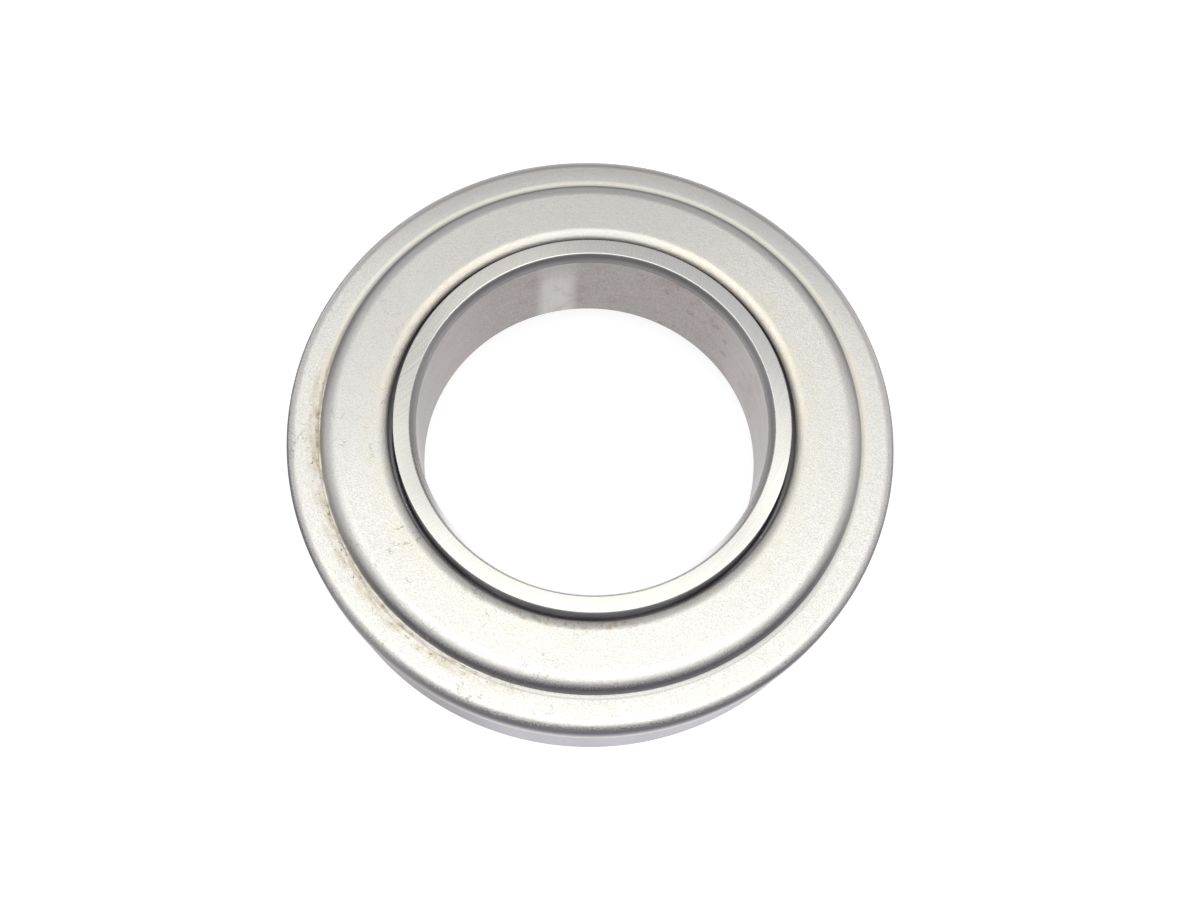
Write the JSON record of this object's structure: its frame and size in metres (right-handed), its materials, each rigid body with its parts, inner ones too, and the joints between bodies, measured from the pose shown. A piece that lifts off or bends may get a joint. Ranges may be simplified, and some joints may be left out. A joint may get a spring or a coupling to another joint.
{
  "type": "clutch release bearing",
  "caption": "Angular contact ball bearing with a stepped pressed-steel cover, which presses a clutch's levers while its inner ring stays on the release sleeve.",
  "frame": {"origin": "on the bearing's axis, in the plane of the outer ring's lever face, on which it rests", "axes": "+Z along the bearing's axis, from the lever face to the sleeve face that the picture shows"},
  "size_m": [0.096, 0.096, 0.025],
  "materials": {
    "outer_ring_steel": "ground",
    "inner_ring_steel": "ground",
    "cover_steel": "satin",
    "cage_steel": "satin",
    "shield_steel": "satin",
    "ball_steel": "polished"
  },
  "bodies": {
    "inner_race": {"inner_ring": "inner_ring_steel", "grease_shield": "shield_steel"},
    "outer_race": {"outer_ring": "outer_ring_steel", "cover": "cover_steel"},
    "cage": {"cage": "cage_steel"},
    "ball_01": {"ball_01": "ball_steel"},
    "ball_02": {"ball_02": "ball_steel"},
    "ball_03": {"ball_03": "ball_steel"},
    "ball_04": {"ball_04": "ball_steel"},
    "ball_05": {"ball_05": "ball_steel"},
    "ball_06": {"ball_06": "ball_steel"},
    "ball_07": {"ball_07": "ball_steel"},
    "ball_08": {"ball_08": "ball_steel"},
    "ball_09": {"ball_09": "ball_steel"},
    "ball_10": {"ball_10": "ball_steel"},
    "ball_11": {"ball_11": "ball_steel"},
    "ball_12": {"ball_12": "ball_steel"},
    "ball_13": {"ball_13": "ball_steel"},
    "ball_14": {"ball_14": "ball_steel"},
    "ball_15": {"ball_15": "ball_steel"},
    "ball_16": {"ball_16": "ball_steel"},
    "ball_17": {"ball_17": "ball_steel"},
    "ball_18": {"ball_18": "ball_steel"}
  },
  "joints": [
    {"name": "outer_spin", "type": "hinge", "parent": "inner_race", "child": "outer_race", "pos_m": [0, 0, 0], "axis": [0, 0, 1], "continuous": true},
    {"name": "cage_spin", "type": "hinge", "parent": "inner_race", "child": "cage", "pos_m": [0, 0, 0], "axis": [0, 0, 1], "continuous": true},
    {"name": "ball_01_roll", "type": "hinge", "parent": "cage", "child": "ball_01", "pos_m": [0.0373, 0, 0.012], "axis": [0.6428, 0, 0.766], "continuous": true},
    {"name": "ball_02_roll", "type": "hinge", "parent": "cage", "child": "ball_02", "pos_m": [0.03505, 0.01276, 0.012], "axis": [0.604, 0.2198, 0.766], "continuous": true},
    {"name": "ball_03_roll", "type": "hinge", "parent": "cage", "child": "ball_03", "pos_m": [0.02858, 0.02398, 0.012], "axis": [0.4924, 0.4132, 0.766], "continuous": true},
    {"name": "ball_04_roll", "type": "hinge", "parent": "cage", "child": "ball_04", "pos_m": [0.01865, 0.0323, 0.012], "axis": [0.3214, 0.5567, 0.766], "continuous": true},
    {"name": "ball_05_roll", "type": "hinge", "parent": "cage", "child": "ball_05", "pos_m": [0.00648, 0.03674, 0.012], "axis": [0.1116, 0.633, 0.766], "continuous": true},
    {"name": "ball_06_roll", "type": "hinge", "parent": "cage", "child": "ball_06", "pos_m": [-0.00648, 0.03674, 0.012], "axis": [-0.1116, 0.633, 0.766], "continuous": true},
    {"name": "ball_07_roll", "type": "hinge", "parent": "cage", "child": "ball_07", "pos_m": [-0.01865, 0.0323, 0.012], "axis": [-0.3214, 0.5567, 0.766], "continuous": true},
    {"name": "ball_08_roll", "type": "hinge", "parent": "cage", "child": "ball_08", "pos_m": [-0.02858, 0.02398, 0.012], "axis": [-0.4924, 0.4132, 0.766], "continuous": true},
    {"name": "ball_09_roll", "type": "hinge", "parent": "cage", "child": "ball_09", "pos_m": [-0.03505, 0.01276, 0.012], "axis": [-0.604, 0.2198, 0.766], "continuous": true},
    {"name": "ball_10_roll", "type": "hinge", "parent": "cage", "child": "ball_10", "pos_m": [-0.0373, 0, 0.012], "axis": [-0.6428, 0, 0.766], "continuous": true},
    {"name": "ball_11_roll", "type": "hinge", "parent": "cage", "child": "ball_11", "pos_m": [-0.03505, -0.01276, 0.012], "axis": [-0.604, -0.2198, 0.766], "continuous": true},
    {"name": "ball_12_roll", "type": "hinge", "parent": "cage", "child": "ball_12", "pos_m": [-0.02858, -0.02398, 0.012], "axis": [-0.4924, -0.4132, 0.766], "continuous": true},
    {"name": "ball_13_roll", "type": "hinge", "parent": "cage", "child": "ball_13", "pos_m": [-0.01865, -0.0323, 0.012], "axis": [-0.3214, -0.5567, 0.766], "continuous": true},
    {"name": "ball_14_roll", "type": "hinge", "parent": "cage", "child": "ball_14", "pos_m": [-0.00648, -0.03674, 0.012], "axis": [-0.1116, -0.633, 0.766], "continuous": true},
    {"name": "ball_15_roll", "type": "hinge", "parent": "cage", "child": "ball_15", "pos_m": [0.00648, -0.03674, 0.012], "axis": [0.1116, -0.633, 0.766], "continuous": true},
    {"name": "ball_16_roll", "type": "hinge", "parent": "cage", "child": "ball_16", "pos_m": [0.01865, -0.0323, 0.012], "axis": [0.3214, -0.5567, 0.766], "continuous": true},
    {"name": "ball_17_roll", "type": "hinge", "parent": "cage", "child": "ball_17", "pos_m": [0.02858, -0.02398, 0.012], "axis": [0.4924, -0.4132, 0.766], "continuous": true},
    {"name": "ball_18_roll", "type": "hinge", "parent": "cage", "child": "ball_18", "pos_m": [0.03505, -0.01276, 0.012], "axis": [0.604, -0.2198, 0.766], "continuous": true}
  ],
  "couplings": [
    {"joint": "cage_spin", "follows": "outer_spin", "ratio": 0.5489},
    {"joint": "ball_01_roll", "follows": "outer_spin", "ratio": 3.8788},
    {"joint": "ball_02_roll", "follows": "outer_spin", "ratio": 3.8788},
    {"joint": "ball_03_roll", "follows": "outer_spin", "ratio": 3.8788},
    {"joint": "ball_04_roll", "follows": "outer_spin", "ratio": 3.8788},
    {"joint": "ball_05_roll", "follows": "outer_spin", "ratio": 3.8788},
    {"joint": "ball_06_roll", "follows": "outer_spin", "ratio": 3.8788},
    {"joint": "ball_07_roll", "follows": "outer_spin", "ratio": 3.8788},
    {"joint": "ball_08_roll", "follows": "outer_spin", "ratio": 3.8788},
    {"joint": "ball_09_roll", "follows": "outer_spin", "ratio": 3.8788},
    {"joint": "ball_10_roll", "follows": "outer_spin", "ratio": 3.8788},
    {"joint": "ball_11_roll", "follows": "outer_spin", "ratio": 3.8788},
    {"joint": "ball_12_roll", "follows": "outer_spin", "ratio": 3.8788},
    {"joint": "ball_13_roll", "follows": "outer_spin", "ratio": 3.8788},
    {"joint": "ball_14_roll", "follows": "outer_spin", "ratio": 3.8788},
    {"joint": "ball_15_roll", "follows": "outer_spin", "ratio": 3.8788},
    {"joint": "ball_16_roll", "follows": "outer_spin", "ratio": 3.8788},
    {"joint": "ball_17_roll", "follows": "outer_spin", "ratio": 3.8788},
    {"joint": "ball_18_roll", "follows": "outer_spin", "ratio": 3.8788}
  ]
}
